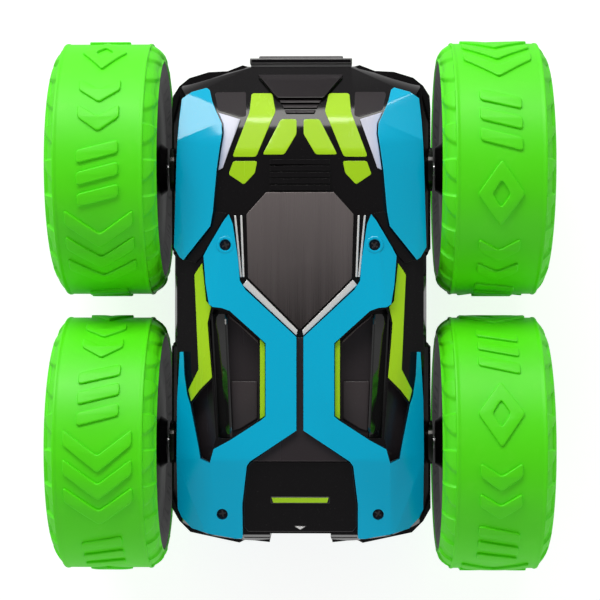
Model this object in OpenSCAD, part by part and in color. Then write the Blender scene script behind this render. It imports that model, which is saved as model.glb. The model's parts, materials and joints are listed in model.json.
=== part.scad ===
// Flip-over stunt car. Both faces of the body are alike, so it drives on either one.
// Frame: +Z up, +Y forwards, +X to the car's right. The origin is on the ground, under the centre.

/* [Wheels] */
// Distance between the front and rear axles
wheelbase = 88; // [88:1:92]
// Largest radius of a wheel, over the raised blocks of the tread
wheel_r = 41; // [40:0.5:43]
// Distance from the car's middle to the inner face of a wheel
wheel_in_x = 42.6; // [42.6:0.1:45]
// Width of a wheel from its back to the outer sidewall
wheel_w = 36.6; // [35:0.1:38]
// Height of the raised blocks above the smooth tread
block_h = 0.8; // [0.4:0.1:1.2]
// Lugs on each shoulder of a tyre
lug_count = 22; // [16:2:28]

/* [Body] */
// Half width of the middle frame
half_w = 41.6; // [41:0.1:41.8]
// Half height of the body's flat roof, before the outer panels
roof_z = 24; // [23:0.5:26]
// Wall thickness of the shells
shell_t = 1.8; // [1.4:0.1:2.2]
// Thickness of the blue outer panels
panel_t = 1.6; // [1:0.1:2]
// How far the battery hatch slides back
hatch_travel = 5; // [3:0.5:6]
// How far the power switch slides
switch_travel = 3; // [2:0.5:4]

/* [Drivetrain] */
// Teeth of each gear in the train between the axles
train_teeth = 22; // [22:2:22]
// Teeth of the large gear that the motor drives
wheel_teeth = 48; // [48:2:48]
// Teeth of the motor's pinion
pinion_teeth = 12; // [12:1:12]
// Radius of a wheel axle
axle_r = 2; // [1.5:0.1:2.2]
// Running clearance of each shaft, on the radius
run_gap = 0.04; // [0.02:0.01:0.08]

/* [Hidden] */
$fn = 48;

axle_y = wheelbase / 2;
LEFT = -1;
RIGHT = 1;
FRONT = 1;
REAR = -1;

// Layers from the middle of the car outwards, as distances from the middle
motor_x = [0.6, 23.1];
tray_x = [23.1, 35.3];
cover_x = [35.3, 36.9];
big_gear_x = [25.1, 28.1];
train_gear_x = [29.5, 33.5];
bush_x = [35.3, 42.2];
wall_t = 1.5;

// How far the outer panels stand out past the shell's sides
panel_outset = 0.8;

train_module = wheelbase / 4 / train_teeth;
motor_module = 0.5;
motor_y = -motor_module * (wheel_teeth + pinion_teeth) / 2;
pressure_angle = 20;
tooth_slack = 0.1;
pin_r = 1.5;
motor_r = 10;
motor_shaft_r = 1;
bush_r = 4;
gearbox_r = 14.2;
gearbox_half_y = axle_y + gearbox_r;
frame_half_z = 3;
// Half width of the notch between the tail's two feet, and how far back its face lies
tail_notch = [9.5, 71.5];

// Outlines of the right half, seen from above, as [x, y]
base_outline = [
    [16.6, 76.8], [18.8, 77.4], [23.7, 75.5], [29.8, 75.2], [36, 73.3], [39.2, 70.7],
    [41.3, 67.4], [half_w, 63.2], [half_w, 18.3], [39.8, 15.7], [39.8, -11.4], [half_w, -13],
    [half_w, -65], [39.2, -69.2], [35.6, -72.8], [19.8, -76.2], [17.9, -75.2],
    [10.1, -76], [tail_notch[0], -tail_notch[1] - 1.7]
];
fender_outline = [
    [37.2, 65], [34.1, 67.2], [29.5, 68.6], [28.5, 67.8], [27.6, 64.1], [26.1, 60.4],
    [24.4, 56.7], [24.2, 53.6], [25.8, 42.4], [27, 29.1], [27.8, 24.7], [36.3, 14.2],
    [37.5, 15.1], [39.3, 18.2], [38.9, 29.7], [38.5, 45.2], [37.9, 57.6]
];
frame_outline = [
    [22, 28.3], [20.8, 25.3], [19.1, 14.2], [18.6, 7.7], [16.8, 4.9], [1.1, -9.7],
    [1.1, -38.6], [15.5, -48.2], [16.5, -49.7], [18, -61.8], [18, -72.4], [18.6, -73.1],
    [27.9, -71.4], [34.1, -69.7], [37.2, -66.5], [38.5, -63.7], [38.5, -44.8],
    [38.3, -29.2], [37.4, -14.4], [36.3, -14.4], [36, -21.5], [35.1, -27.7],
    [34.1, -30.8], [31.3, -44.8], [30.9, -47.5], [27.9, -48.8], [26.7, -44.4],
    [21.7, -41.7], [12.1, -35.5], [10.6, -34.2], [10.6, -11.6], [21.7, -1.6],
    [24.2, -0.7], [27, -0.4], [28.2, 0.5], [29.2, 6.4], [29.9, 15.4], [28.6, 17.9],
    [23.6, 26.3]
];
strut_outline = [
    [22.9, 28.7], [26.6, 29.2], [27.4, 24.5], [35.8, 14.2], [32.6, 13.4],
    [30.5, 15.6], [24.1, 26.7]
];
lime_outer_outline = [
    [30.4, 13.3], [29.5, 4.9], [29.1, 1.4], [27.6, -0.3], [28.7, -5.4], [28.2, -12.3],
    [27.3, -22.3], [31.3, -26.3], [34, -29.9], [34.9, -26.3], [31.6, -19.8],
    [31.9, -12.3], [32.9, 9.6], [31.9, 11.2]
];
lime_inner_outline = [[10.8, -11.8], [12.4, -10.2], [12.4, -35.2], [10.8, -34.2]];
pocket_outline = [
    [12.6, -10.4], [18.6, -5], [22.5, -1.8], [26.8, -1], [28.2, -5.4], [27.7, -12.3],
    [26.8, -22.5], [25.4, -41.2], [21.6, -41.2], [12.6, -35.2]
];
intake_outline = [
    [33.6, -30.4], [31, -26.9], [27.4, -23.2], [26.1, -41], [27, -44.2], [28.1, -48.4],
    [30.6, -47.2]
];
accent_outline = [[25.7, 60.5], [18.6, 58.1], [24, 42.7], [25.4, 42.1], [23.8, 53.6], [24, 56.8]];
windshield_outline = [[10.5, 35.2], [16.6, 28.4], [16.1, 8.6], [0, -7.4]];
trim_v_outline = [[17.7, 6.4], [1.1, -9.2], [0.7, -7.6], [16.4, 8]];
hatch_outline = [[15.3, -48.6], [16.2, -50], [17.6, -61.8], [17.6, -69.2], [16.4, -70.8]];
spine_outline = [[0.9, -9.9], [0.9, -38.5], [14.7, -48.2]];
nose_outline = [[13.3, 72.5], [7, 65]];

// Louvres at the back of the hood
louvre_y = 35.9;
louvre_count = 5;
louvre_pitch = 2;
louvre_half_w = 9.3;

// Screws through each face of the body: [x, y] on the right half
screw_spots = [[23.1, 18.8], [24.3, -65]];
screw_head_r = 1.75;
screw_shaft_r = 0.9;
press_play = 0.02;

// Height of the seat under a screw's head, on the flat roof or on the sloping tail
function screw_seat(p) = p[1] > 0 ? roof_z - 0.6 : roof_z - 5.3;

// Slot of the power switch, in the lower roof behind its louvres
switch_spot = [0, 52];
switch_knob = [5, 3];
slot_gap = 0.5;

// The hatch slides down the tail's slope. Its hooked legs run in slots that stop it.
hatch_leg = [1.2, 3];
hatch_leg_spot = [15, -58];
leg_gap = 0.2;

// ---------- helpers ----------

module both_x() {
    children();
    mirror([1, 0, 0]) children();
}

// Places a piece that is drawn around the axle plane on the car's upper face.
module on_top() {
    translate([0, 0, wheel_r]) children();
}

// The same for the lower face.
module on_bottom() {
    translate([0, 0, wheel_r]) mirror([0, 0, 1]) children();
}

module on_face(face) {
    if (face > 0) on_top() children();
    else on_bottom() children();
}

// Right half outline mirrored into one closed outline.
function closed(half) =
    concat(half, [for (i = [len(half) - 1:-1:0]) [-half[i][0], half[i][1]]]);

// Solid whose faces are the body's facets, raised by lift and pulled in by inset.
module crown(lift = 0, inset = 0) {
    low = [[17, 77], [38, 71], [41.2, 60], [41.2, -62], [38, -70], [18, -75.5]];
    high = [
        [22, 48, roof_z], [38.6, 50.5, roof_z - 3.6], [19.5, 58.2, roof_z - 2.9],
        [17, 66, roof_z - 8.5], [36, 66, roof_z - 9], [16, 76, roof_z - 16],
        [38, 69.5, roof_z - 15],
        [27, -46, roof_z], [38.5, -46, roof_z - 4.6], [28.5, -72, roof_z - 6.5],
        [37.6, -66, roof_z - 9.5]
    ];
    both = [-1, 1];
    low_pts = [
        for (s = both, p = low) [s * (p[0] - inset), p[1] - sign(p[1]) * inset, frame_half_z]
    ];
    high_pts = [
        for (s = both, p = high)
            [s * (p[0] - inset), p[1] - sign(p[1]) * inset, p[2] + lift - inset]
    ];
    pts = concat(low_pts, high_pts);
    hull() polyhedron(points = pts, faces = [for (i = [0:len(pts) - 3]) [i, i + 1, i + 2]]);
}

// The part of a flat outline's column that lies between two raised copies of the facets.
module skin(from, to, outset = 0) {
    intersection() {
        linear_extrude(height = 2 * roof_z) children();
        difference() {
            crown(to, -outset);
            crown(from);
        }
    }
}

// A straight strip from a to b, w wide.
module strip(a, b, w, h) {
    d = b - a;
    translate([a[0], a[1], 0])
        rotate([0, 0, atan2(d[1], d[0])])
            translate([0, -w / 2, 0]) cube([norm(d), w, h]);
}

// A cylinder along X from x[0] to x[1], on the side given by -1 or 1.
module rod_x(r, x, side = 1) {
    translate([side > 0 ? x[0] : -x[1], 0, 0])
        rotate([0, 90, 0]) cylinder(r = r, h = x[1] - x[0]);
}

// Turns a shape drawn along +Z so that it points outwards on one side of the car.
module outwards(side) {
    rotate([0, side * 90, 0]) children();
}

function inv_deg(a) = tan(a) * 180 / PI - a;

// Half angle of a tooth at radius r, for pitch radius rp.
function tooth_half(r, rp, teeth) =
    let (rb = rp * cos(pressure_angle), q = max(r, rb))
    90 / teeth * (1 - tooth_slack) + inv_deg(pressure_angle) - inv_deg(acos(rb / q));

function polar(r, a) = [r * cos(a), r * sin(a)];

// Outline of a spur gear with a tooth centred on the angle phase.
module gear_2d(teeth, m, addendum, phase = 0) {
    rp = teeth * m / 2;
    radii = [rp - 1.2 * m, rp * 0.955, rp, rp + addendum * m];
    polygon([
        for (i = [0:teeth - 1])
            let (mid = phase + i * 360 / teeth)
            each concat(
                [for (r = radii) polar(r, mid - tooth_half(r, rp, teeth))],
                [for (k = [3:-1:0]) polar(radii[k], mid + tooth_half(radii[k], rp, teeth))]
            )
    ]);
}

// A spur gear with its axis along X. The drawing's first axis points down, so a gear
// whose number of teeth leaves a remainder of 2 by 4 meshes along Y with no phase.
module gear_x(teeth, m, x, side, addendum, phase = 0) {
    translate([side * x[0], 0, 0])
        outwards(side)
            linear_extrude(height = x[1] - x[0]) gear_2d(teeth, m, addendum, phase);
}

// ---------- body ----------

module mid_frame() {
    color("#1c1a1e") on_top() {
        difference() {
            union() {
                difference() {
                    translate([0, 0, -frame_half_z])
                        linear_extrude(height = 2 * frame_half_z) polygon(closed(base_outline));
                    translate([-half_w + 3, -gearbox_half_y - 1, -5])
                        cube([2 * half_w - 6, 2 * gearbox_half_y + 2, 10]);
                }
                frame_cradles();
                axle_bosses();
            }
            battery_space();
            for (s = [LEFT, RIGHT], e = [FRONT, REAR])
                translate([0, e * axle_y, 0]) rod_x(bush_r, [30, 50], s);
        }
    }
}

// Tray for the battery at the back and plate for the circuit board at the front.
module frame_cradles() {
    translate([-17.8, -68, -10.8]) cube([35.6, 38, 13.8]);
    translate([-19, 3, -3]) cube([38, gearbox_half_y, 1.6]);
    for (x = [-15, 15], y = [10, 50])
        translate([x, y, -3]) cylinder(r = 1.6, h = 3.6);
}

module battery_space() {
    translate([-16.2, -66.6, -9.2]) cube([32.4, 35.2, 20]);
}

module axle_bosses() {
    for (s = [LEFT, RIGHT], e = [FRONT, REAR])
        translate([0, e * axle_y, 0]) rod_x(7, [half_w - 3, 42.2], s);
}

// One face of the body: a hollow shell that carries all the outer panels.
module shell(face) {
    difference() {
        intersection() {
            shell_block();
            linear_extrude(height = 2 * roof_z) polygon(closed(base_outline));
        }
        translate([-tail_notch[0], -tail_notch[1] - 20, 0]) cube([2 * tail_notch[0], 20, roof_z]);
        both_x() translate([0, 0, roof_z / 2]) {
            linear_extrude(height = roof_z) polygon(pocket_outline);
            linear_extrude(height = roof_z) polygon(intake_outline);
        }
        for (s = [LEFT, RIGHT], e = [FRONT, REAR])
            translate([0, e * axle_y, 0]) rod_x(7.2, [36, 46], s);
        both_x() for (p = screw_spots) {
            translate([p[0], p[1], 0]) cylinder(r = screw_shaft_r, h = 2 * roof_z);
            translate([p[0], p[1], screw_seat(p)]) cylinder(r = screw_head_r, h = roof_z);
        }
        if (face > 0) hatch_recess();
        else switch_slot();
    }
}

// The hollow facets with what is raised on them, before the body's outline is cut from them.
module shell_block() {
    difference() {
        crown();
        translate([0, 0, -0.01]) crown(0, shell_t);
    }
    skin(-0.4, 0.9) {
        polygon(closed(nose_outline));
        both_x() polygon(strut_outline);
    }
    for (i = [0:louvre_count - 1]) louvre(i);
    both_x() screw_posts();
    // Wall behind the tail's notch
    translate([-tail_notch[0] - 1, -tail_notch[1] - 0.1, frame_half_z])
        cube([2 * tail_notch[0] + 2, 2.1, 13]);
    // Walls along the waist
    both_x() translate([38, -13, frame_half_z]) cube([2.4, 30, 9]);
}

module louvre(i) {
    rise = 0.3 + 0.22 * i;
    translate([-louvre_half_w, louvre_y + (louvre_count - 1 - i) * louvre_pitch, roof_z - 1])
        cube([2 * louvre_half_w, louvre_pitch * 0.72, 1 + rise]);
}

module screw_posts() {
    foot = gearbox_r + 0.4;
    for (p = screw_spots)
        translate([p[0], p[1], foot]) cylinder(r = 2.4, h = screw_seat(p) - 0.6 - foot);
}

// Room for the hatch to lie in and slide out of, and the opening to the battery under it.
module hatch_recess() {
    difference() {
        translate([-17.9, -90, 10]) cube([35.8, 90 - 48.4, 30]);
        crown(-1.2, 0);
    }
    translate([-14, -67, 5]) cube([28, 15, 30]);
    both_x() translate([
        hatch_leg_spot[0] - leg_gap, hatch_leg_spot[1] - hatch_travel - leg_gap, 5
    ])
        cube([hatch_leg[0] + 2 * leg_gap, hatch_leg[1] + hatch_travel + 2 * leg_gap, 30]);
}

module switch_slot() {
    translate([
        switch_spot[0] - switch_knob[0] / 2 - slot_gap - switch_travel / 2,
        switch_spot[1] - switch_knob[1] / 2 - slot_gap, 10
    ])
        cube([switch_knob[0] + 2 * slot_gap + switch_travel, switch_knob[1] + 2 * slot_gap, 30]);
}

module upper_shell() {
    color("#17151a") on_top() shell(1);
}

module lower_shell() {
    color("#17151a") on_bottom() shell(-1);
}

module front_bumper() {
    color("#242226") on_top() {
        translate([-16.4, 77.5, -5]) cube([32.8, 1.9, 10]);
        translate([-13.5, 79.4, -3]) cube([27, 1, 6]);
    }
}

// ---------- outer panels ----------

module screw_sinks() {
    for (p = screw_spots)
        translate([p[0], p[1], 12]) cylinder(r = screw_head_r, h = roof_z);
}

module fender(face, side) {
    color("#009dc4") on_face(face)
        scale([side, 1, 1]) skin(0, panel_t, panel_outset) polygon(fender_outline);
}

module frame_half(face, side) {
    color("#009dc4") on_face(face)
        scale([side, 1, 1])
            difference() {
                skin(0, panel_t, panel_outset) polygon(frame_outline);
                screw_sinks();
                // Ends the panel's skirt 1 mm below the facets' edges at the tail
                intersection() {
                    crown(-4, -3);
                    translate([0, -90, 0]) cube([60, 36, 60]);
                }
            }
}

module windshield(face) {
    color("#4a4548") on_face(face)
        translate([0, 0, roof_z])
            linear_extrude(height = 0.9) polygon(closed(windshield_outline));
}

module windshield_trims() {
    color("#d8dade") for (face = [1, -1]) on_face(face)
        both_x() translate([0, 0, roof_z]) {
            linear_extrude(height = 1.7) polygon(trim_v_outline);
            strip([17.5, 8.9], [18.2, 28], 0.6, 1.3);
            strip([18.3, 8.9], [20.1, 28], 0.6, 1.3);
        }
}

module lime_strips() {
    color("#a8d71e") for (face = [1, -1]) on_face(face) {
        skin(0, 0.8) both_x() polygon(lime_outer_outline);
        both_x() translate([0, 0, roof_z])
            linear_extrude(height = 1) polygon(lime_inner_outline);
    }
}

module white_accents() {
    color("#e4e4f0") for (face = [1, -1]) on_face(face)
        skin(0, 0.7) both_x() polygon(accent_outline);
}

// Sunk trays behind the doors and at the air intakes, and the spine that ends at the hatch.
module dark_panels() {
    color("#3a383c") for (face = [1, -1]) on_face(face) {
        sunk_trays();
        translate([0, 0, roof_z])
            linear_extrude(height = 0.8) polygon(closed(spine_outline));
    }
}

module sunk_trays() {
    intersection() {
        translate([0, 0, 10]) linear_extrude(height = roof_z) both_x() {
            offset(delta = 1) polygon(pocket_outline);
            offset(delta = 1) polygon(intake_outline);
        }
        difference() {
            crown(-shell_t, 2);
            crown(-shell_t - 1.2, 2);
        }
    }
}

module body_screws() {
    color("#55555a") for (face = [1, -1]) on_face(face)
        both_x() for (p = screw_spots)
            translate([p[0], p[1], screw_seat(p)]) screw();
}

module screw() {
    difference() {
        cylinder(r = screw_head_r - press_play, h = 1);
        translate([-1.3, -0.3, 0.4]) cube([2.6, 0.6, 1]);
        translate([-0.3, -1.3, 0.4]) cube([0.6, 2.6, 1]);
    }
    translate([0, 0, -4.5]) cylinder(r = screw_shaft_r - press_play, h = 4.5);
}

// ---------- hatch and switch ----------

module battery_hatch() {
    color("#17151a") on_top() {
        skin(-1, 0.4) polygon(closed(hatch_outline));
        skin(0.4, 0.8) {
            translate([-9.1, -61.6]) square([18.2, 1.9]);
            polygon([[-1.8, -69], [1.8, -69], [0, -70.2]]);
        }
        both_x() hatch_hook();
    }
}

// A leg of the hatch with a toe that reaches out under the shell.
module hatch_hook() {
    translate([hatch_leg_spot[0], hatch_leg_spot[1], roof_z - 6.2]) {
        cube([hatch_leg[0], hatch_leg[1], 3.2]);
        cube([hatch_leg[0] + 1.2, hatch_leg[1], 0.6]);
    }
}

module power_switch() {
    color("#d8dade") on_bottom()
        translate([switch_spot[0] - switch_travel / 2, switch_spot[1], 0]) {
            translate([-switch_knob[0] / 2, -switch_knob[1] / 2, 16])
                cube([switch_knob[0], switch_knob[1], roof_z - 16.8]);
            translate([-6, -3, 15]) cube([12, 6, 1.4]);
        }
}

// ---------- inside the body ----------

module battery_pack() {
    color("#3f6fb5") on_top() translate([-16, -66.4, -9.2]) {
        cube([32, 34.8, 2]);
        for (x = [8, 24])
            translate([x, 0, 9]) rotate([-90, 0, 0]) cylinder(r = 7.8, h = 34.8);
    }
}

module circuit_board() {
    color("#1f6b3a") on_top() {
        translate([-18, 6, 0.6]) cube([36, 50, 1.6]);
        translate([-6, 24, 2.2]) cube([10, 10, 1.6]);
        translate([6, 40, 2.2]) cube([8, 6, 2.4]);
        translate([-14, 10, 2.2]) cylinder(r = 3, h = 6);
    }
}

module antenna_wire() {
    color("#222226") on_top()
        translate([-12, 50, 2.2]) {
            cylinder(r = 0.8, h = 12);
            translate([0, 0, 12]) rotate([90, 0, 0]) cylinder(r = 0.8, h = 40);
            translate([0, 0, 12]) sphere(r = 0.8);
        }
}

module motor(side) {
    color("#b9bcc2") on_top() translate([0, motor_y, 0])
        difference() {
            intersection() {
                rod_x(motor_r, motor_x, side);
                translate([side * 12 - 20, -motor_r, -7.7]) cube([40, 2 * motor_r, 15.4]);
            }
            rod_x(motor_shaft_r + run_gap, [8, 30], side);
        }
}

module gearbox_tray(side) {
    color("#2c2c30") on_top()
        difference() {
            gearbox_block(side, tray_x, 0);
            gearbox_block(side, [tray_x[0] + wall_t, tray_x[1] + 1], wall_t);
            gear_pin_places() rod_x(pin_r, [20, 40], side);
            for (e = [FRONT, REAR])
                translate([0, e * axle_y, 0]) rod_x(axle_r + run_gap, [20, 40], side);
            translate([0, motor_y, 0]) rod_x(motor_shaft_r + 0.8, [20, 40], side);
        }
}

module gearbox_block(side, x, inset) {
    hull()
        for (e = [FRONT, REAR])
            translate([0, e * axle_y, 0]) rod_x(gearbox_r - inset, x, side);
}

module gearbox_cover(side) {
    color("#2c2c30") on_top()
        difference() {
            gearbox_block(side, cover_x, 0);
            gear_pin_places() rod_x(pin_r, [20, 40], side);
            for (e = [FRONT, REAR])
                translate([0, e * axle_y, 0]) rod_x(bush_r, [20, 40], side);
        }
}

module gear_pin_places() {
    for (y = [-axle_y / 2, 0, axle_y / 2]) translate([0, y, 0]) children();
}

module gear_pins() {
    color("#c8c8cc") on_top() for (s = [LEFT, RIGHT])
        gear_pin_places() rod_x(pin_r, [tray_x[0] + 0.1, cover_x[1] - 0.1], s);
}

module axle_bushes() {
    color("#c9a95a") on_top() for (s = [LEFT, RIGHT], e = [FRONT, REAR])
        translate([0, e * axle_y, 0])
            difference() {
                rod_x(bush_r, bush_x, s);
                rod_x(axle_r + run_gap, [30, 50], s);
            }
}

// ---------- gears ----------

module axle_gear(side, end) {
    color("#e9e4d6") on_top() translate([0, end * axle_y, 0])
        difference() {
            gear_x(train_teeth, train_module, train_gear_x, side, 0.9);
            rod_x(axle_r + press_play, [20, 40], side);
        }
}

module idler(side, end) {
    color("#e9e4d6") on_top() translate([0, end * axle_y / 2, 0])
        difference() {
            gear_x(train_teeth, train_module, train_gear_x, side, 0.9, 180 / train_teeth);
            rod_x(pin_r + run_gap, [20, 40], side);
        }
}

module centre_gear(side) {
    color("#e9e4d6") on_top()
        difference() {
            union() {
                gear_x(train_teeth, train_module, train_gear_x, side, 0.9);
                gear_x(wheel_teeth, motor_module, big_gear_x, side, 0.7);
                rod_x(4, [big_gear_x[0], train_gear_x[1]], side);
            }
            rod_x(pin_r + run_gap, [20, 40], side);
        }
}

// Pinion and the motor shaft that it is pressed on.
module pinion(side) {
    color("#c9a95a") on_top() translate([0, motor_y, 0]) {
        gear_x(pinion_teeth, motor_module, big_gear_x, side, 0.7, 180 / pinion_teeth);
        rod_x(motor_shaft_r, [10, big_gear_x[1] + 0.4], side);
    }
}

// ---------- wheels ----------

// Places a wheel piece, drawn around +Z from the wheel's inner face, at its axle.
module at_wheel(side, end) {
    translate([side * wheel_in_x, end * axle_y, wheel_r]) outwards(side) children();
}

tread_r = wheel_r - block_h;
rim_r = 30.2;
bead_r = rim_r + 0.02;

// Sectors of a circle, centred on the upward and downward directions.
module sectors(count, fill) {
    step = 360 / count;
    half = step * fill / 2;
    polygon([
        for (i = [0:count - 1])
            each [
                polar(20, i * step - half), polar(60, i * step - half),
                polar(60, i * step + half), polar(20, i * step + half)
            ]
    ]);
}

// A hollow rubber tyre with a flat tread, raised blocks round its middle and shoulder lugs.
module tyre(side, end) {
    w = wheel_w;
    color("#46d813") at_wheel(side, end) {
        rotate_extrude($fn = 96) polygon([
            [bead_r, 3.2], [34.5, 2.8], [34.7, 1.2], [36.4, 0.9], [38, 1.6], [39.4, 3],
            [tread_r, 4.7], [tread_r, w - 4.2], [39.2, w - 2.4], [37.6, w - 1.1],
            [35.4, w - 0.3], [33, w], [bead_r, w - 0.4], [bead_r, w - 2.6], [33.6, w - 2.4],
            [36, w - 3.6], [tread_r - 2.4, w - 6], [tread_r - 2.4, 6.6], [36.2, 4.6],
            [bead_r, 5.4]
        ]);
        intersection() {
            translate([0, 0, 1]) linear_extrude(height = w) sectors(lug_count, 0.55);
            rotate_extrude($fn = 96) {
                polygon([
                    [34, w - 0.2], [37, w], [39, w - 0.9], [40.5, w - 2.8], [wheel_r - 0.3, w - 4.8],
                    [tread_r - 1, w - 4.8], [34, w - 2]
                ]);
                polygon([
                    [35.6, 1.6], [36.6, 0.2], [38.4, 0.6], [40.2, 2.8], [wheel_r - 0.3, 5.4],
                    [tread_r - 1, 5.4], [36, 3]
                ]);
            }
        }
        intersection() {
            linear_extrude(height = w) sectors(16, 0.6);
            rotate_extrude($fn = 96)
                translate([tread_r - 1, 12]) square([block_h + 1, 13]);
        }
    }
}

// Hollow wheel: domed back, drum, outer face with ten recesses and a hub.
module rim(side, end) {
    w = wheel_w;
    hub_r = 6.5;
    color("#141216") at_wheel(side, end)
        difference() {
            rotate_extrude($fn = 96) polygon([
                [axle_r, 0.4], [7, 0.4], [8.5, 2.6], [27, 3.2], [31.5, 1.6], [34.2, 1.4],
                [34.2, 2.5], [rim_r, 2.9], [rim_r, w - 1.2], [28.6, w - 0.8], [27.6, w - 3.2],
                [hub_r + 1, w - 3.2], [hub_r, w - 2], [axle_r + 0.6, w - 2], [axle_r, w - 2],
                [axle_r, w - 5.8], [axle_r, 2.6]
            ]);
            rotate_extrude($fn = 96) polygon([
                [hub_r, 4.6], [28.2, 5.2], [28.2, w - 5.4], [hub_r, w - 5.4]
            ]);
            for (i = [0:9])
                rotate([0, 0, i * 36])
                    translate([10.5, -2.6, w - 4.6]) cube([14.5, 5.2, 5]);
        }
}

module wheel_cap(side, end) {
    color("#b9bcc2") at_wheel(side, end)
        rotate_extrude($fn = 48) polygon([
            [0, wheel_w - 2], [5, wheel_w - 2], [5, wheel_w - 1.2], [3.6, wheel_w - 0.3],
            [0, wheel_w]
        ]);
}

module axle(side, end) {
    color("#c8c8cc") on_top() translate([0, end * axle_y, 0])
        rod_x(axle_r, [tray_x[0] + 0.3, wheel_in_x + wheel_w - 2.1], side);
}

mid_frame();
upper_shell();
lower_shell();
front_bumper();
fender(1, LEFT);  // upper_left_fender
fender(1, RIGHT);  // upper_right_fender
fender(-1, LEFT);  // lower_left_fender
fender(-1, RIGHT);  // lower_right_fender
frame_half(1, LEFT);  // upper_left_frame
frame_half(1, RIGHT);  // upper_right_frame
frame_half(-1, LEFT);  // lower_left_frame
frame_half(-1, RIGHT);  // lower_right_frame
windshield(1);  // upper_windshield
windshield(-1);  // lower_windshield
windshield_trims();
lime_strips();
white_accents();
dark_panels();
body_screws();
gearbox_tray(LEFT);  // left_gearbox_tray
gearbox_tray(RIGHT);  // right_gearbox_tray
gearbox_cover(LEFT);  // left_gearbox_cover
gearbox_cover(RIGHT);  // right_gearbox_cover
gear_pins();
motor(LEFT);  // left_motor
motor(RIGHT);  // right_motor
axle_bushes();
battery_pack();
circuit_board();
antenna_wire();
battery_hatch();
power_switch();
tyre(LEFT, FRONT);  // front_left_tyre
tyre(RIGHT, FRONT);  // front_right_tyre
tyre(LEFT, REAR);  // rear_left_tyre
tyre(RIGHT, REAR);  // rear_right_tyre
rim(LEFT, FRONT);  // front_left_rim
rim(RIGHT, FRONT);  // front_right_rim
rim(LEFT, REAR);  // rear_left_rim
rim(RIGHT, REAR);  // rear_right_rim
wheel_cap(LEFT, FRONT);  // front_left_cap
wheel_cap(RIGHT, FRONT);  // front_right_cap
wheel_cap(LEFT, REAR);  // rear_left_cap
wheel_cap(RIGHT, REAR);  // rear_right_cap
axle(LEFT, FRONT);  // front_left_axle
axle(RIGHT, FRONT);  // front_right_axle
axle(LEFT, REAR);  // rear_left_axle
axle(RIGHT, REAR);  // rear_right_axle
axle_gear(LEFT, FRONT);  // front_left_axle_gear
axle_gear(RIGHT, FRONT);  // front_right_axle_gear
axle_gear(LEFT, REAR);  // rear_left_axle_gear
axle_gear(RIGHT, REAR);  // rear_right_axle_gear
idler(LEFT, FRONT);  // front_left_idler
idler(RIGHT, FRONT);  // front_right_idler
idler(LEFT, REAR);  // rear_left_idler
idler(RIGHT, REAR);  // rear_right_idler
centre_gear(LEFT);  // left_centre_gear
centre_gear(RIGHT);  // right_centre_gear
pinion(LEFT);  // left_pinion
pinion(RIGHT);  // right_pinion
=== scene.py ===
"""Looks of the flip-over stunt car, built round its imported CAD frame."""
import json
import math

import bmesh
import bpy
from mathutils import Matrix, Vector
from mathutils.bvhtree import BVHTree


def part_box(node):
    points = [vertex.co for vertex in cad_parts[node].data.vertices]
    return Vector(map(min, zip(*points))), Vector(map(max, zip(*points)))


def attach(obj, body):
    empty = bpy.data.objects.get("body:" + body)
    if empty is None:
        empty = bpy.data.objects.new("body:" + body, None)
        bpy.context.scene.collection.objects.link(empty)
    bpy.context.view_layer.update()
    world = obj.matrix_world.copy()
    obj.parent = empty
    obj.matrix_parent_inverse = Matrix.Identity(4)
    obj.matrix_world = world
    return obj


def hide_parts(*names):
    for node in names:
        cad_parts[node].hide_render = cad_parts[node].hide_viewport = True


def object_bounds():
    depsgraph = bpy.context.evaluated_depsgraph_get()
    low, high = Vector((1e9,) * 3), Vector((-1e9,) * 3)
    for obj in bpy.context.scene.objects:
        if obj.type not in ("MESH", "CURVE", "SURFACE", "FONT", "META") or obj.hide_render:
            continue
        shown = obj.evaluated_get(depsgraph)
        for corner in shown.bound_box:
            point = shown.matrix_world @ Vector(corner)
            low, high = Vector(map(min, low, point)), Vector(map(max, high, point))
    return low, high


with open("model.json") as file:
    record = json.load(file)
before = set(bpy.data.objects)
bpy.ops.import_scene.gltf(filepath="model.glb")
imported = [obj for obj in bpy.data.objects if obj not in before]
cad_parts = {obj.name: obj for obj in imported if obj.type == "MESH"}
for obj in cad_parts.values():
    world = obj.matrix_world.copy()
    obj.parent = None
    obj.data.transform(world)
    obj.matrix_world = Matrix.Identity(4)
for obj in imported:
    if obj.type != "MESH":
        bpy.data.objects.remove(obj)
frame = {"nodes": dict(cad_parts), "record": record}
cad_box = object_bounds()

MM = 0.001
NODES = frame["nodes"]
LOW, HIGH = cad_box
AXLE_Z = (LOW.z + HIGH.z) / 2
WHEEL_R = (HIGH.z - LOW.z) / 2
CORNERS = [(end, side) for end in ("front", "rear") for side in ("left", "right")]
SIDES = ("left", "right")
FACES = {"upper": 1, "lower": -1}


# ---------------------------------------------------------------- materials


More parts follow.
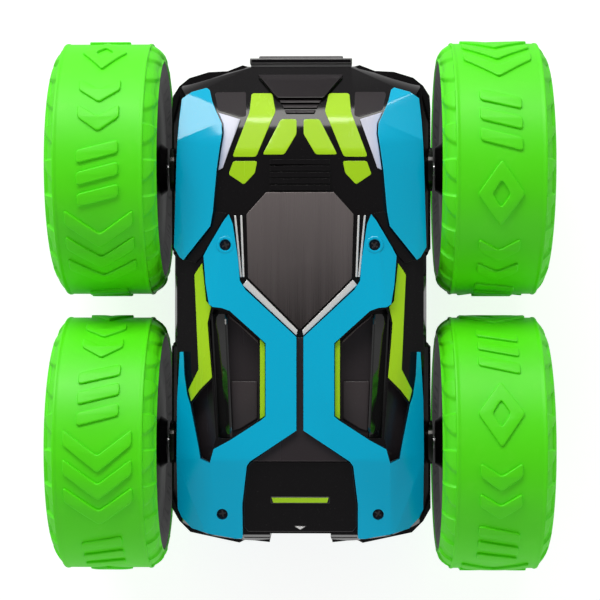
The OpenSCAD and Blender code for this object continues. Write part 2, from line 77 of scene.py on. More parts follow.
class Nodes:
    """A small helper that adds and links the nodes of one material."""

    def __init__(self, name):
        self.mat = bpy.data.materials.new(name)
        self.mat.use_nodes = True
        self.tree = self.mat.node_tree
        self.tree.nodes.clear()
        self.out = self.tree.nodes.new("ShaderNodeOutputMaterial")
        self.coord = self.tree.nodes.new("ShaderNodeTexCoord").outputs["Object"]

    def add(self, kind, inputs=None, **settings):
        node = self.tree.nodes.new(kind)
        for key, value in settings.items():
            setattr(node, key, value)
        for key, value in (inputs or {}).items():
            if isinstance(value, bpy.types.NodeSocket):
                self.tree.links.new(value, node.inputs[key])
            else:
                node.inputs[key].default_value = value
        return node

    def total(self, a, b):
        return self.add("ShaderNodeMath", {0: a, 1: b}, operation="ADD").outputs[0]

    def noise(self, scale, detail=4.0, rough=0.5, stretch=(1, 1, 1)):
        """A noise texture in object space, with scale waves to the metre."""
        mapped = self.add("ShaderNodeMapping", {"Vector": self.coord, "Scale": stretch})
        found = self.add("ShaderNodeTexNoise", {
            "Vector": mapped.outputs[0], "Scale": scale, "Detail": detail, "Roughness": rough})
        return found.outputs[0]

    def spread(self, value, low, high, from_low=0.3, from_high=0.7):
        """Maps a 0 to 1 texture to the range low to high."""
        return self.add("ShaderNodeMapRange", {
            "Value": value, "From Min": from_low, "From Max": from_high,
            "To Min": low, "To Max": high}).outputs[0]

    def mix(self, factor, a, b):
        """Blends from colour a to colour b."""
        node = self.add("ShaderNodeMix", data_type="RGBA")
        for slot, value in ((0, factor), (6, a), (7, b)):
            if isinstance(value, bpy.types.NodeSocket):
                self.tree.links.new(value, node.inputs[slot])
            else:
                node.inputs[slot].default_value = value
        return node.outputs[2]

    def bump(self, height, strength, distance, under=None):
        """A bump of distance metres, on top of the bump under it."""
        inputs = {"Height": height, "Strength": strength, "Distance": distance}
        if under is not None:
            inputs["Normal"] = under
        return self.add("ShaderNodeBump", inputs).outputs[0]

    def shader(self, **inputs):
        """The material's surface, with the sockets named as Base_Color for Base Color."""
        names = {key.replace("_", " "): value for key, value in inputs.items()}
        surface = self.add("ShaderNodeBsdfPrincipled", names)
        self.tree.links.new(surface.outputs[0], self.out.inputs[0])


def rgb(r, g, b):
    return (r, g, b, 1.0)


def shade(colour, factor):
    """The same colour, darker or lighter."""
    return rgb(*(min(1.0, c * factor) for c in colour[:3]))


def moulded(name, colour, roughness=0.2, coat=0.0, peel=0.02, metal=0.0, specular=0.5):
    """Glossy moulded plastic: slight orange peel, faint flow marks, fine handling scratches."""
    n = Nodes(name)
    flow = n.noise(26.0, 2.0, 0.4)
    base = n.mix(n.spread(flow, 0.0, 1.0), shade(colour, 0.96), shade(colour, 1.03))
    speck = n.spread(n.noise(2600.0, 2.0), 0.0, 0.25, 0.66, 0.74)
    base = n.mix(speck, base, rgb(*(0.6 * c + 0.06 for c in colour[:3])))
    smudge = n.noise(48.0, 3.0, 0.5)
    scuff = n.noise(700.0, 2.0, 0.5, (1.0, 0.05, 1.0))
    rough = n.total(n.spread(smudge, roughness * 0.92, roughness * 1.1),
                    n.spread(scuff, 0.0, 0.05, 0.6, 0.8))
    normal = n.bump(n.noise(800.0, 2.0), peel, 0.0002)
    n.shader(Base_Color=base, Roughness=rough, Normal=normal, Metallic=metal,
             Specular_IOR_Level=specular, Coat_Weight=coat, Coat_Roughness=0.05)
    return n.mat


def rubber(name, colour, bloom_colour):
    """Soft moulded rubber: fine grain and a faint bloom in broad patches."""
    n = Nodes(name)
    patch = n.noise(20.0, 3.0)
    base = n.mix(n.spread(patch, 0.0, 1.0), shade(colour, 0.95), shade(colour, 1.04))
    bloom = n.spread(n.noise(240.0, 4.0, 0.6), 0.0, 0.12, 0.55, 0.75)
    base = n.mix(bloom, base, bloom_colour)
    fine = n.bump(n.noise(2100.0, 3.0, 0.6), 0.1, 0.0002)
    soft = n.bump(n.noise(120.0, 2.0), 0.05, 0.0006, fine)
    rough = n.spread(n.noise(70.0, 4.0), 0.46, 0.54)
    n.shader(Base_Color=base, Roughness=rough, Normal=soft, Specular_IOR_Level=0.45,
             Subsurface_Weight=0.04, Subsurface_Radius=(0.4, 1.0, 0.2), Subsurface_Scale=0.001)
    return n.mat


def brushed(name, front, back, y_front, y_back):
    """Plate with fine lines brushed along it, and a painted reflection: the colour fades from the
    lighter front at y_front to the darker back at y_back.
    """
    n = Nodes(name)
    y = n.add("ShaderNodeSeparateXYZ", {0: n.coord}).outputs[1]
    # painted reflection gradient: lighter towards the front, darker towards the back
    painted_reflection_fade = n.spread(y, 0.0, 1.0, y_back, y_front)
    lines = n.noise(1500.0, 3.0, 0.6, (1.0, 0.02, 1.0))
    broad = n.noise(260.0, 2.0, 0.5, (1.0, 0.03, 1.0))
    base = n.mix(painted_reflection_fade, back, front)
    base = n.mix(n.spread(lines, 0.0, 0.3), base, shade(front, 0.5))
    base = n.mix(n.spread(broad, 0.0, 0.14), base, shade(front, 1.3))
    rough = n.spread(lines, 0.24, 0.36)
    normal = n.bump(lines, 0.03, 0.0002)
    n.shader(Base_Color=base, Roughness=rough, Normal=normal, Metallic=0.35, Anisotropic=0.5,
             Specular_IOR_Level=0.3)
    return n.mat


def metal(name, colour, roughness):
    """Bare metal with fine turning or rolling marks."""
    n = Nodes(name)
    lines = n.noise(1100.0, 4.0, 0.6, (1.0, 0.05, 1.0))
    stain = n.noise(80.0, 4.0, 0.6)
    base = n.mix(n.spread(stain, 0.0, 0.5), colour, shade(colour, 0.7))
    rough = n.spread(lines, roughness * 0.8, roughness * 1.3)
    n.shader(Base_Color=base, Roughness=rough, Metallic=1.0, Normal=n.bump(lines, 0.08, 0.0001))
    return n.mat


def matte(name, colour, roughness=0.55):
    """Plain moulded plastic with a light spark-eroded texture."""
    n = Nodes(name)
    base = n.mix(n.spread(n.noise(50.0), 0.0, 1.0), shade(colour, 0.9), shade(colour, 1.08))
    grain = n.noise(1500.0, 3.0, 0.7)
    n.shader(Base_Color=base, Roughness=n.spread(grain, roughness * 0.85, roughness * 1.15),
             Normal=n.bump(grain, 0.15, 0.0002))
    return n.mat


GREEN = rgb(0.085, 0.75, 0.001)
GREEN_BLOOM = rgb(0.16, 0.8, 0.04)
BLUE = rgb(0.0, 0.42, 0.68)
LIME = rgb(0.38, 0.66, 0.01)
BLACK = rgb(0.0045, 0.0038, 0.0045)
# Windshield colours: a painted reflection, lighter at the front and darker at the back
SHIELD_PAINTED_LIT = rgb(0.19, 0.163, 0.165)
SHIELD_PAINTED_SHADE = rgb(0.006, 0.005, 0.0055)

LOOKS = {
    "tyre_green": rubber("tyre_green", GREEN, GREEN_BLOOM),
    "rim_black": moulded("rim_black", rgb(0.005, 0.004, 0.005), 0.42, specular=0.12),
    "cap_silver": metal("cap_silver", rgb(0.62, 0.62, 0.64), 0.25),
    "black_gloss": moulded("black_gloss", BLACK, 0.12, peel=0.015, specular=0.35),
    # The edge looks are lighter than their parts: a painted highlight along the rounded edges
    "black_edge_highlight": moulded("black_edge_highlight", rgb(0.03, 0.026, 0.028), 0.3),
    "blue_gloss": moulded("blue_gloss", BLUE, 0.16, coat=0.1, peel=0.012, specular=0.4),
    "blue_edge_highlight": moulded("blue_edge_highlight", rgb(0.02, 0.5, 0.76), 0.25),
    "windshield_grey": brushed("windshield_grey", SHIELD_PAINTED_LIT, SHIELD_PAINTED_SHADE, 0.036, -0.009),
    "trim_silver": moulded("trim_silver", rgb(0.86, 0.85, 0.85), 0.26, metal=0.35),
    "lime": moulded("lime", LIME, 0.25, coat=0.15),
    "accent_white": moulded("accent_white", rgb(0.58, 0.58, 0.7), 0.25),
    "panel_grey": moulded("panel_grey", rgb(0.028, 0.023, 0.026), 0.24, specular=0.35),
    "bar_gloss": moulded("bar_gloss", rgb(0.008, 0.008, 0.008), 0.07, coat=0.8, specular=0.8),
    "nose_grey": moulded("nose_grey", rgb(0.016, 0.013, 0.015), 0.2, specular=0.3),
    # lighter pad colour: a painted reflection in the door pockets
    "pad_painted_reflection": moulded("pad_painted_reflection", rgb(0.05, 0.041, 0.044), 0.24, specular=0.4),
    # lighter, pinkish lip colour: a painted highlight along the pocket's upper edge
    "lip_painted_highlight": moulded("lip_painted_highlight", rgb(0.075, 0.06, 0.06), 0.26),
    "panel_edge_highlight": moulded("panel_edge_highlight", rgb(0.09, 0.075, 0.078), 0.3),
    "bumper_black": moulded("bumper_black", rgb(0.003, 0.0027, 0.0035), 0.3, specular=0.15),
    "bumper_edge_highlight": moulded("bumper_edge_highlight", rgb(0.12, 0.115, 0.12), 0.35),
    "screw_steel": metal("screw_steel", rgb(0.2, 0.2, 0.21), 0.25),
    "screw_dark": metal("screw_dark", rgb(0.05, 0.055, 0.065), 0.2),
    "axle_steel": metal("axle_steel", rgb(0.6, 0.6, 0.62), 0.25),
    "motor_steel": metal("motor_steel", rgb(0.55, 0.56, 0.6), 0.3),
    "bush_brass": metal("bush_brass", rgb(0.62, 0.42, 0.14), 0.3),
    "gear_plastic": matte("gear_plastic", rgb(0.8, 0.76, 0.66), 0.4),
    "housing_plastic": matte("housing_plastic", rgb(0.02, 0.02, 0.022)),
    "battery_cells": moulded("battery_cells", rgb(0.03, 0.14, 0.5), 0.3),
    "circuit_green": matte("circuit_green", rgb(0.01, 0.16, 0.05), 0.4),
    "wire_black": matte("wire_black", rgb(0.01, 0.01, 0.01), 0.5),
}
# The look of the rounded edges: rougher where handling has dulled the gloss, and lighter in colour
# as a painted highlight along each edge
EDGE_HIGHLIGHT_LOOKS = {"black_gloss": "black_edge_highlight", "blue_gloss": "blue_edge_highlight",
              "panel_grey": "panel_edge_highlight", "bumper_black": "bumper_edge_highlight"}
SLOT_OF = {s["node"]: s["material_slot"] for s in frame["record"]["subparts"]}


# ---------------------------------------------------------------- mesh helpers


def add_object(name, data):
    obj = bpy.data.objects.new(name, data)
    bpy.context.scene.collection.objects.link(obj)
    return obj


def piece_from(bm, name, body, slot_name, look=None, angle=32):
    """Turns a bmesh into a piece, shaded smooth with edges over angle degrees kept sharp."""
    mesh = bpy.data.meshes.new(name)
    bm.to_mesh(mesh)
    bm.free()
    mesh.shade_smooth()
    mesh.set_sharp_from_angle(angle=math.radians(angle))
    mesh.materials.clear()
    mesh.materials.append(LOOKS[look or slot_name])
    piece = add_object(name, mesh)
    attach(piece, body)
    return piece


def merge(into, other):
    """Adds one bmesh to another and frees it."""
    mesh = bpy.data.meshes.new("merge")
    other.to_mesh(mesh)
    other.free()
    into.from_mesh(mesh)
    bpy.data.meshes.remove(mesh)


def join_rings(bm, rings):
    """Faces between each ring of vertices and the next."""
    count = len(rings[0])
    for here, there in zip(rings, rings[1:]):
        for k in range(count):
            m = (k + 1) % count
            bm.faces.new((here[k], there[k], there[m], here[m]))


def lathe(profile, steps, push=None):
    """A bmesh of a closed profile of (radius, axial) points turned round the local Z axis.

    push(k, angle) moves point k of the profile along its own normal by that much."""
    bm = bmesh.new()
    count = len(profile)
    normals = []
    for k in range(count):
        a = Vector(profile[k - 1])
        b = Vector(profile[(k + 1) % count])
        along = (b - a).normalized()
        normals.append(Vector((along.y, -along.x)))
    rings = []
    for i in range(steps):
        angle = 2 * math.pi * i / steps
        ring = []
        for k, (r, z) in enumerate(profile):
            h = push(k, angle) if push else 0.0
            radius = r + normals[k].x * h
            height = z + normals[k].y * h
            ring.append(bm.verts.new((radius * math.cos(angle), radius * math.sin(angle), height)))
        rings.append(ring)
    join_rings(bm, rings + rings[:1])
    bmesh.ops.recalc_face_normals(bm, faces=bm.faces)
    return bm


def fillet(points, radius, steps=4):
    """Rounds the corners of a closed outline."""
    made = []
    count = len(points)
    for k in range(count):
        before, corner = Vector(points[k - 1]), Vector(points[k])
        after = Vector(points[(k + 1) % count])
        reach = min(radius, (before - corner).length / 2.2, (after - corner).length / 2.2)
        a = corner + (before - corner).normalized() * reach
        b = corner + (after - corner).normalized() * reach
        for i in range(steps + 1):
            t = i / steps
            made.append(tuple(a * (1 - t) ** 2 + corner * 2 * t * (1 - t) + b * t * t))
    return made


def outline_solid(loops, height, bevel):
    """Mesh of flat outlines with holes, raised to height, with rounded upper edges."""
    curve = bpy.data.curves.new("outline", "CURVE")
    curve.dimensions = "2D"
    curve.fill_mode = "BOTH"
    curve.extrude = (height - bevel) / 2
    curve.bevel_depth = bevel
    curve.bevel_resolution = 2
    curve.offset = -bevel
    for loop in loops:
        spline = curve.splines.new("POLY")
        spline.points.add(len(loop) - 1)
        for point, (x, y) in zip(spline.points, loop):
            point.co = (x, y, 0, 1)
        spline.use_cyclic_u = True
    obj = add_object("outline", curve)
    bpy.context.view_layer.update()
    evaluated = obj.evaluated_get(bpy.context.evaluated_depsgraph_get())
    mesh = bpy.data.meshes.new_from_object(evaluated)
    bpy.data.objects.remove(obj)
    bpy.data.curves.remove(curve)
    bm = bmesh.new()
    bm.from_mesh(mesh)
    bpy.data.meshes.remove(mesh)
    bmesh.ops.remove_doubles(bm, verts=bm.verts, dist=1e-6)
    lowest = min(v.co.z for v in bm.verts)
    for v in bm.verts:
        v.co.z -= lowest
    return bm


def cut_into_strips(bm, step, axis):
    """Splits a mesh by parallel planes, so that it can be bent."""
    values = [v.co[axis] for v in bm.verts]
    normal = Vector([1.0 if k == axis else 0.0 for k in range(3)])
    at = math.floor(min(values) / step) * step
    while at < max(values):
        geometry = bm.verts[:] + bm.edges[:] + bm.faces[:]
        bmesh.ops.bisect_plane(bm, geom=geometry, plane_co=normal * at, plane_no=normal)
        at += step


def mirrored(points):
    """The same outline on the other side of the car, still in the same turning direction."""
    return [(-x, y) for x, y in reversed(points)]


# ---------------------------------------------------------------- tyres

# All in mm. A wheel is drawn from RIM_BACK behind its rim's inner edge, outwards along +Z.
TREAD_R = WHEEL_R / MM - 0.8
SEAT_R = 30.2
RIM_BACK = 0.4
LUGS = 22
STEPS_PER_LUG = 28
TREAD_MIDDLE = 18.5
MARK_W = 12.7
MARK_L = 20.4
MARK_GAP = 2.6
MARK_H = 1.1
MARK_SUNK = 0.62


def fine_line(points, step):
    """The same open polyline with points at most step apart."""
    made = [points[0]]
    for a, b in zip(points, points[1:]):
        a, b = Vector(a), Vector(b)
        count = max(1, math.ceil((b - a).length / step))
        made += [tuple(a.lerp(b, (k + 1) / count)) for k in range(count)]
    return made


def smoothstep(low, high, x):
    t = min(1.0, max(0.0, (x - low) / (high - low)))
    return t * t * (3 - 2 * t)


def tyre_profile(width):
    """(radius, axial) points in mm: the visible outer line, then the inside of the section."""
    outer = width - 0.9
    r = TREAD_R
    line = [
        (SEAT_R, outer - 0.3), (31.2, outer), (33.6, outer), (35.2, outer - 0.25),
        (36.8, outer - 0.95), (38.1, outer - 1.8), (39.1, outer - 2.7), (r - 0.45, outer - 3.2),
        (r + 0.1, outer - 3.4), (r + 0.22, outer - 3.7), (r + 0.2, outer - 4.1), (r, outer - 4.4),
        (r, 5.9), (r + 0.2, 5.6), (r + 0.22, 5.2), (r + 0.1, 4.9), (r - 0.45, 4.7),
        (39.2, 3.7), (38.3, 2.5), (37.2, 1.6), (36.0, 1.1), (34.9, 1.0), (34.5, 1.5),
        (34.4, 2.8), (SEAT_R, 3.1),
    ]
    inside = [
        (SEAT_R, 5.4), (36.2, 4.8), (37.6, 7.0), (37.6, width - 6.6), (35.6, width - 4.4),
        (SEAT_R, width - 3.4),
    ]
    return line, inside


def tyre_base(width, hand):
    """Smooth carcass whose shoulders have a row of notches with one slanted, one steep edge."""
    line, inside = tyre_profile(width)
    line = fine_line(line, 0.6)
    profile = line + inside
    low_r, high_r = 35.4, TREAD_R - 0.4

    def push(k, angle):
        if k >= len(line):
            return 0.0
        r, z = profile[k]
        if r >= high_r:
            return 0.0
        band = smoothstep(low_r - 0.5, low_r + 0.3, r)
        across = max(0.0, (r - low_r) / (high_r - low_r))
        phase = (hand * angle / (2 * math.pi) * LUGS) % 1.0
        slant = 0.06 + 0.5 * across ** 0.8
        rise = smoothstep(slant - 0.05, slant + 0.1, phase) * (1 - smoothstep(0.95, 1.0, phase))
        height = 0.9 if z > width / 2 else 0.75
        return band * rise * height

    return lathe(profile, LUGS * STEPS_PER_LUG, push)


def chevron(y, width, rise, stroke):
    """Outline of one chevron with its tip at y."""
    half = width / 2
    return [
        (-half, y - rise), (0, y), (half, y - rise), (half, y - rise - stroke),
        (0, y - stroke * 1.1), (-half, y - rise - stroke),
    ]


def slanted_bar(y, width, length, slant):
    """Outline of one bar across the tread, its right end slant further on."""
    return [
        (-width / 2, y - length / 2 - slant), (width / 2, y - length / 2 + slant),
        (width / 2, y + length / 2 + slant), (-width / 2, y + length / 2 - slant),
    ]


def rhombus(width, length):
    """Outline of a rhombus with its points on the axes."""
    return [(-width / 2, 0), (0, -length / 2), (width / 2, 0), (0, length / 2)]


def tread_marks():
    """Plain raised marks for the tread, as (loops, length along it)."""
    wide = [chevron(13.2, 21, 8.4, 4.6), chevron(4.4, 21, 8.4, 4.6), chevron(-4.4, 21, 8.4, 4.6)]
    arrows = [chevron(10.2, MARK_W, 4.6, 4.2), chevron(0.6, MARK_W, 4.6, 4.2)]
    bars = [slanted_bar(y, MARK_W, 3.9, 1.6) for y in (-6.6, 0, 6.6)]
    ring = [rhombus(MARK_W + 1.6, MARK_L), rhombus(5.6, 8.6)]
    cycle = [(wide, 31.5), (bars, MARK_L), (ring, MARK_L), (arrows, MARK_L), (bars, MARK_L)]
    return cycle + cycle


def tread_relief(hand, turn):
    """All raised marks, bent round the tread from the angle turn on."""
    made = bmesh.new()
    around = 2 * math.pi * TREAD_R
    marks = tread_marks()
    spare = around - sum(length + MARK_GAP for _, length in marks)
    at = 0.0
    for loops, length in marks:
        flat = outline_solid([fillet(loop, 1.1) for loop in loops], MARK_H, 0.3)
        cut_into_strips(flat, 1.4, 1)
        centre = at + length / 2
        at += length + MARK_GAP + spare / len(marks)
        for v in flat.verts:
            angle = hand * ((centre + v.co.y) / around * 2 * math.pi + turn)
            r = TREAD_R + v.co.z - MARK_SUNK
            v.co = (r * math.cos(angle), r * math.sin(angle), TREAD_MIDDLE + v.co.x)
        if hand < 0:
            bmesh.ops.reverse_faces(flat, faces=flat.faces)
        merge(made, flat)
    return made


def wheel_matrix(end, side):
    """Places a wheel's piece, drawn in mm round +Z, on its axle."""
    low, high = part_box(f"{end}_{side}_rim")
    sign = 1 if side == "right" else -1
    inner_x = (low.x if sign > 0 else high.x) - sign * RIM_BACK * MM
    centre = Vector((inner_x, (low.y + high.y) / 2, AXLE_Z))
    turn = Matrix.Rotation(sign * math.pi / 2, 4, "Y")
    return Matrix.Translation(centre) @ turn @ Matrix.Scale(MM, 4)


def make_tyres():
    """One detailed tyre a wheel, each with its marks at another angle."""
    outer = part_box("front_right_tyre")[1].x
    width = (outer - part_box("front_right_rim")[0].x) / MM + RIM_BACK
    for k, (end, side) in enumerate(CORNERS):
        hand = 1 if side == "right" else -1
        bm = tyre_base(width, hand)
        merge(bm, tread_relief(hand, 0.42 + 1.3 * k))
        bm.transform(wheel_matrix(end, side))
        name = f"{end}_{side}_tread"
        piece = piece_from(bm, name, f"{end}_{side}_wheel", "tyre_green", angle=40)
        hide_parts(f"{end}_{side}_tyre")


# ---------------------------------------------------------------- CAD nodes


def soften(node, width, segments=3, angle=24):
    """Clean facets, rounded edges and weighted normals on a CAD node."""
    obj = NODES[node]
    weld = obj.modifiers.new("weld", "WELD")
    weld.merge_threshold = 0.01 * MM
    flat = obj.modifiers.new("flat", "DECIMATE")
    flat.decimate_type = "DISSOLVE"
    flat.angle_limit = math.radians(0.6)
    bevel = obj.modifiers.new("bevel", "BEVEL")
    bevel.width = width
    bevel.segments = segments
    bevel.limit_method = "ANGLE"
    bevel.angle_limit = math.radians(angle)
    bevel.miter_outer = "MITER_ARC"
    # The bevel gets the lighter edge look, a painted highlight along each rounded edge
    if SLOT_OF[node] in EDGE_HIGHLIGHT_LOOKS:
        obj.data.materials.append(LOOKS[EDGE_HIGHLIGHT_LOOKS[SLOT_OF[node]]])
        bevel.material = 1
    normal = obj.modifiers.new("normals", "WEIGHTED_NORMAL")
    normal.keep_sharp = False


def paint_nodes():
    """Each CAD node gets the look of its slot."""
    for node, obj in NODES.items():
        obj.data.materials.clear()
        look = "cap_silver" if node.endswith("_cap") else SLOT_OF[node]
        obj.data.materials.append(LOOKS[look])


def finish_shells():
    """Rounded edges on every CAD node that shows."""
    for face in FACES:
        soften(f"{face}_shell", 0.3 * MM)
        soften(f"{face}_windshield", 0.25 * MM)
        for side in SIDES:
            soften(f"{face}_{side}_fender", 0.3 * MM)
            soften(f"{face}_{side}_frame", 0.3 * MM)
    soften("mid_frame", 0.35 * MM)
    soften("front_bumper", 0.45 * MM)
    soften("windshield_trims", 0.12 * MM, 2)
    soften("lime_strips", 0.2 * MM, 2)
    soften("white_accents", 0.2 * MM, 2)
    soften("dark_panels", 0.25 * MM, 2)
    soften("battery_hatch", 0.25 * MM)
    for end, side in CORNERS:
        soften(f"{end}_{side}_rim", 0.35 * MM, 2, 30)
        soften(f"{end}_{side}_cap", 0.2 * MM, 2, 30)


# ---------------------------------------------------------------- body details

# Places and outlines in mm, seen from above, for the car's right side where there are two
SCREWS = [(23.1, 18.8), (24.3, -65.0)]
NOSE = [(-13.6, 73.4), (-7.2, 65.3), (7.2, 65.3), (13.6, 73.4)]
# Outline of a lighter grey patch on each side facet of the hood: a painted highlight
FACET_HIGHLIGHT = [(16.9, 59.4), (18.6, 59.0), (25.8, 61.4), (27.0, 66.6), (26.6, 67.4), (17.2, 67.4)]
SLASH_OUTER = [(8.9, 67.0), (15.4, 67.0), (15.9, 60.4), (21.0, 46.2), (13.6, 46.2), (7.7, 60.8)]
SLASH_END = [(13.3, 44.9), (20.7, 44.9), (22.2, 40.8), (17.4, 37.6), (14.0, 41.2)]
SLASH_INNER = [(1.1, 58.2), (6.0, 58.2), (11.6, 46.9), (4.9, 46.9), (1.1, 53.4)]
PAD_REFLECTION = [(13.4, -23.6), (21.6, -23.6), (21.0, -39.2), (18.6, -38.4), (13.4, -35.2)]
LIP = [(13.0, -10.8), (18.8, -5.6), (22.6, -2.5), (22.1, -3.8), (18.3, -6.8), (13.0, -11.9)]
HATCH_STRIP = [(-8.85, -59.85), (8.85, -59.85), (8.4, -61.45), (-8.4, -61.45)]
HATCH_ARROW = [(-1.55, -69.1), (1.55, -69.1), (0, -70.1)]
# How far a laid piece reaches into the body, so that no gap shows under it
ROOT = 0.1
# The size of the squares that a laid piece is cut into, so that it follows the surface
CELL = 1.2


def body_surface(names):
    """A search tree of the outer surface of some CAD nodes, modifiers included."""
    graph = bpy.context.evaluated_depsgraph_get()
    joined = bmesh.new()
    for name in names:
        obj = NODES[name]
        bm = bmesh.new()
        bm.from_object(obj, graph)
        bm.transform(obj.matrix_world)
        merge(joined, bm)
    tree = BVHTree.FromBMesh(joined)
    joined.free()
    return tree


def height_at(tree, sign, x, y):
    """Distance of the surface from the axle plane at (x, y), in mm, or None off the body."""
    start = Vector((x * MM, y * MM, AXLE_Z + sign * 0.1))
    hit = tree.ray_cast(start, Vector((0, 0, -sign)))[0]
    return None if hit is None else sign * (hit.z - AXLE_Z) / MM


def to_face(bm, sign, where):
    """Moves points to where(point): x, y and the height over the axle plane, in mm."""
    for v in bm.verts:
        x, y, lift = where(v.co)
        v.co = (x * MM, y * MM, AXLE_Z + sign * lift * MM)
    if sign < 0:
        bmesh.ops.reverse_faces(bm, faces=bm.faces)
    return bm


def drape(name, shapes, sign, tree, height, slot_name, look=None, bevel=0.08, body="chassis"):
    """Flat outlines laid on the surface of tree as one raised piece, height mm thick."""

    def laid(point):
        base = height_at(tree, sign, point.x, point.y) or 0.0
        return point.x, point.y, base + point.z - ROOT

    made = bmesh.new()
    for loops in shapes:
        flat = outline_solid(loops, height + ROOT, bevel)
        for axis in (0, 1):
            cut_into_strips(flat, CELL, axis)
        merge(made, to_face(flat, sign, laid))
    piece_from(made, name, body, slot_name, look)


def both(loop, radius):
    """An outline with rounded corners, and its mirror image."""
    return [[fillet(loop, radius)], [fillet(mirrored(loop), radius)]]


def hood_slashes():
    """Lime slashes down each half of the hood, with cut-off ends."""
    return both(SLASH_OUTER, 0.9) + both(SLASH_END, 0.7) + both(SLASH_INNER, 0.8)


def nose_ribs(count=3, first=60.3, pitch=1.7, width=0.9):
    """Ribs across the nose, each a little longer than the one behind it."""
    ribs = []
    for k in range(count):
        y = first + pitch * k
        half = 4.4 + 0.5 * pitch * k
        front, slant = y + width, half + 0.4
        ribs.append([[(-half, y), (half, y), (slant, front), (-slant, front)]])
    return ribs


def screw_ring(spot, base, sign):
    """Raised collar round a screw recess."""
    profile = [(1.75, -0.6), (1.8, 0.2), (2.0, 0.42), (2.3, 0.45), (2.65, 0.28), (2.85, -0.15),
               (2.8, -0.6)]
    return to_face(lathe(profile, 40), sign, lambda p: (p.x + spot[0], p.y + spot[1], base + p.z))


def door_bar(side, sign):
    """A long bar by a door: a broad slope that faces the tyre, with a narrow back."""
    bm = bmesh.new()
    # (across in widths, height in mm) points; the bar moves inwards and narrows to the rear
    section = [(-0.56, -2.2), (-0.56, 0.0), (-0.45, 0.02), (0.34, 2.3), (0.42, 2.32),
               (0.5, 2.1), (0.5, -2.2)]
    rings = []
    steps = 12
    for i in range(steps + 1):
        t = i / steps
        x, y, width = 25.1 - 1.8 * t, -2.6 - 38.4 * t, 4.8 - 0.3 * t
        base = 21.6 - 0.3 * t
        end = min(1.0, 0.4 + 12.0 * min(t, 1 - t))
        ring = []
        for u, h in section:
            lift = base + (h * end if h > 0 else h)
            ring.append(bm.verts.new((side * (x - u * width) * MM, y * MM,
                                      AXLE_Z + sign * lift * MM)))
        rings.append(ring)
    join_rings(bm, rings)
    bm.faces.new(rings[0])
    bm.faces.new(rings[-1])
    bmesh.ops.recalc_face_normals(bm, faces=bm.faces)
    return bm


def cross_outline(arm, half):
    """A plus sign with arms of that length and half width, clockwise from the top arm."""
    quarter = [(half, arm), (half, half), (arm, half)]
    loop = []
    for _ in range(4):
        loop += quarter
        quarter = [(y, -x) for x, y in quarter]
    return loop


def screw_head(spot, base, sign):
    """Dark pan head with a cross sunk in it, each screw turned to its own angle."""
    radius, points = 1.62, 36
    angles = [2 * math.pi * k / points for k in range(points)]
    rim = [(radius * math.cos(a), radius * math.sin(a)) for a in angles]
    turn = 0.6 + 0.0007 * spot[0] * spot[1]

    def placed(point):
        x, y, lift = point
        return (spot[0] + x * math.cos(turn) - y * math.sin(turn),
                spot[1] + x * math.sin(turn) + y * math.cos(turn),
                base + lift - 0.046 * (x * x + y * y))

    return to_face(outline_solid([rim, cross_outline(1.15, 0.28)], 0.55, 0.14), sign, placed)


def make_body_details():
    """The thin pieces that lie on each face of the body."""
    for face, sign in FACES.items():
        shell = body_surface([f"{face}_shell"])
        panels = body_surface([f"{face}_{side}_frame" for side in SIDES])
        drape(f"{face}_hood_slashes", hood_slashes(), sign, shell, 0.16, "lime")
        # lighter grey patches laid on the hood's side facets as a painted highlight
        drape(f"{face}_hood_facet_highlights", both(FACET_HIGHLIGHT, 0.6), sign, shell, 0.14, "panel_grey")
        nose = [[fillet(NOSE, 0.5)]]
        drape(f"{face}_nose_plate", nose, sign, shell, 0.4, "panel_grey", "nose_grey", 0.2)
        drape(f"{face}_nose_ribs", nose_ribs(), sign, shell, 0.5, "panel_grey", bevel=0.2)
        trays = body_surface(["dark_panels"])
        # lighter pads in the door pockets: a painted reflection
        drape(f"{face}_door_reflection_pads", both(PAD_REFLECTION, 0.5), sign, trays, 0.35, "panel_grey", "pad_painted_reflection", 0.2)
        # raised lips along the pockets' upper edges, their lighter colour a painted highlight
        drape(f"{face}_door_lips", both(LIP, 0.3), sign, trays, 0.9, "panel_grey", "lip_painted_highlight", 0.3)
        rings, heads = bmesh.new(), bmesh.new()
        screws = body_surface(["body_screws"])
        ring_x, ring_y = SCREWS[0]
        for side in (-1, 1):
            base = height_at(panels, sign, side * (ring_x + 2.4), ring_y)
            merge(rings, screw_ring((side * ring_x, ring_y), base, sign))
            for x, y in SCREWS:
                base = height_at(screws, sign, side * (x + 1.2), y + 0.8)
                merge(heads, screw_head((side * x, y), base - 0.2, sign))
        piece_from(rings, f"{face}_screw_rings", "chassis", "blue_gloss")
        piece_from(heads, f"{face}_screw_heads", "chassis", "screw_steel", "screw_dark")
        bars = bmesh.new()
        for side in (-1, 1):
            merge(bars, door_bar(side, sign))
        piece_from(bars, f"{face}_door_bars", "chassis", "black_gloss", "bar_gloss", 20)


def paint_hatch():
    """The hatch carries a lime strip and a silver arrow on its raised marks."""
    tree = body_surface(["battery_hatch"])
    marks = [("hatch_strip", HATCH_STRIP, "lime"), ("hatch_arrow", HATCH_ARROW, "trim_silver")]
    for name, loop, slot_name in marks:
        drape(name, [[loop]], 1, tree, 0.1, slot_name, bevel=0.05, body="battery_hatch")


# ---------------------------------------------------------------- stage


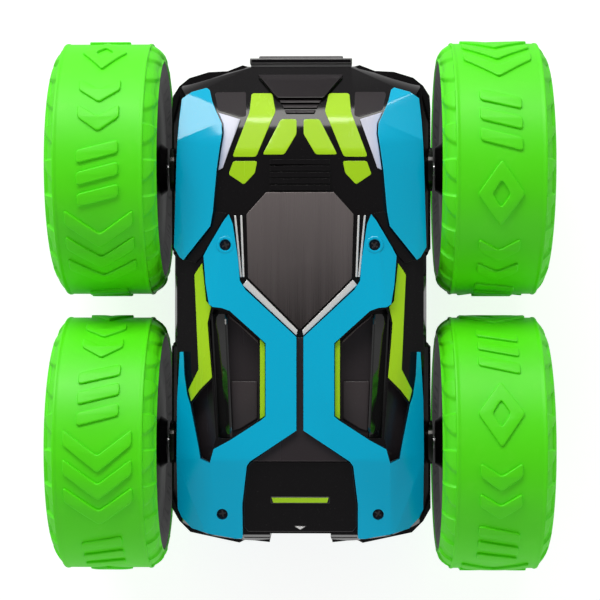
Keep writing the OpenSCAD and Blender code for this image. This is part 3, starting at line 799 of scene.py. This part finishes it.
def make_camera():
    """A long lens 0.6 m over the axles, looking down with the car's front at the top."""
    data = bpy.data.cameras.new("camera")
    data.sensor_width = 36.0
    data.lens = 111.4
    data.clip_start = 0.01
    data.clip_end = 10.0
    cam = add_object("camera", data)
    place = Vector((9.6 * MM, 0.0, AXLE_Z + 0.6))
    target = Vector((-0.4 * MM, 1.84 * MM, AXLE_Z))
    back = (place - target).normalized()
    front = Vector((0, 1, 0))
    right = front.cross(back).normalized()
    up = back.cross(right)
    turn = Matrix((right, up, back)).transposed()
    cam.matrix_world = Matrix.Translation(place) @ turn.to_4x4()
    bpy.context.scene.camera = cam


def area_light(name, place, size, power, colour=(1, 1, 1)):
    """A rectangular softbox aimed at the middle of the car."""
    data = bpy.data.lights.new(name, "AREA")
    data.shape = "RECTANGLE"
    data.size, data.size_y = size
    data.energy = power
    data.color = colour
    obj = add_object(name, data)
    obj.location = place
    aim = Vector((0, 0, AXLE_Z)) - Vector(place)
    obj.rotation_mode = "QUATERNION"
    obj.rotation_quaternion = aim.to_track_quat("-Z", "Y")
    return obj


def make_world():
    """Soft studio surroundings: darker overhead, paler towards the horizon."""
    world = bpy.data.worlds.new("studio")
    world.use_nodes = True
    tree = world.node_tree
    coord = tree.nodes.new("ShaderNodeTexCoord")
    split = tree.nodes.new("ShaderNodeSeparateXYZ")
    ramp = tree.nodes.new("ShaderNodeMapRange")
    tree.links.new(coord.outputs["Generated"], split.inputs[0])
    tree.links.new(split.outputs[2], ramp.inputs["Value"])
    for key, value in (("From Min", 0.0), ("From Max", 1.0), ("To Min", 0.46), ("To Max", 0.16)):
        ramp.inputs[key].default_value = value
    back = tree.nodes["Background"]
    back.inputs[0].default_value = rgb(1.0, 1.0, 1.0)
    tree.links.new(ramp.outputs[0], back.inputs[1])
    bpy.context.scene.world = world


def make_lights():
    """A soft key from the front, a low card for the nose, and fills that leave no highlight."""
    area_light("key", (-0.2, 0.78, 0.6), (1.0, 0.35), 9.0, (1.0, 0.99, 0.95))
    area_light("low_card", (-0.4, 0.9, 0.13), (0.3, 0.16), 0.5)
    fills = [
        area_light("rear_fill", (0.1, -0.9, 0.7), (1.0, 0.4), 3.2),
        area_light("left_fill", (-0.95, 0.1, 0.42), (0.7, 0.3), 1.4),
        area_light("right_fill", (0.95, 0.1, 0.42), (0.7, 0.3), 1.4),
    ]
    for fill in fills:
        fill.visible_glossy = False
    bpy.context.scene.view_settings.view_transform = "Standard"


def make_floor():
    """A plain pale disc under the wheels."""
    bm = bmesh.new()
    bmesh.ops.create_circle(bm, cap_ends=True, segments=64, radius=3.0)
    mesh = bpy.data.meshes.new("floor")
    bm.to_mesh(mesh)
    bm.free()
    floor = add_object("floor", mesh)
    floor.location.z = LOW.z
    floor.visible_glossy = False
    n = Nodes("floor")
    n.shader(Base_Color=rgb(0.35, 0.35, 0.35), Roughness=0.6,
             Emission_Color=rgb(1.0, 1.0, 1.0), Emission_Strength=0.8)
    mesh.materials.append(n.mat)


make_camera()
make_lights()
make_world()
make_floor()
paint_nodes()
finish_shells()
make_tyres()
make_body_details()
paint_hatch()
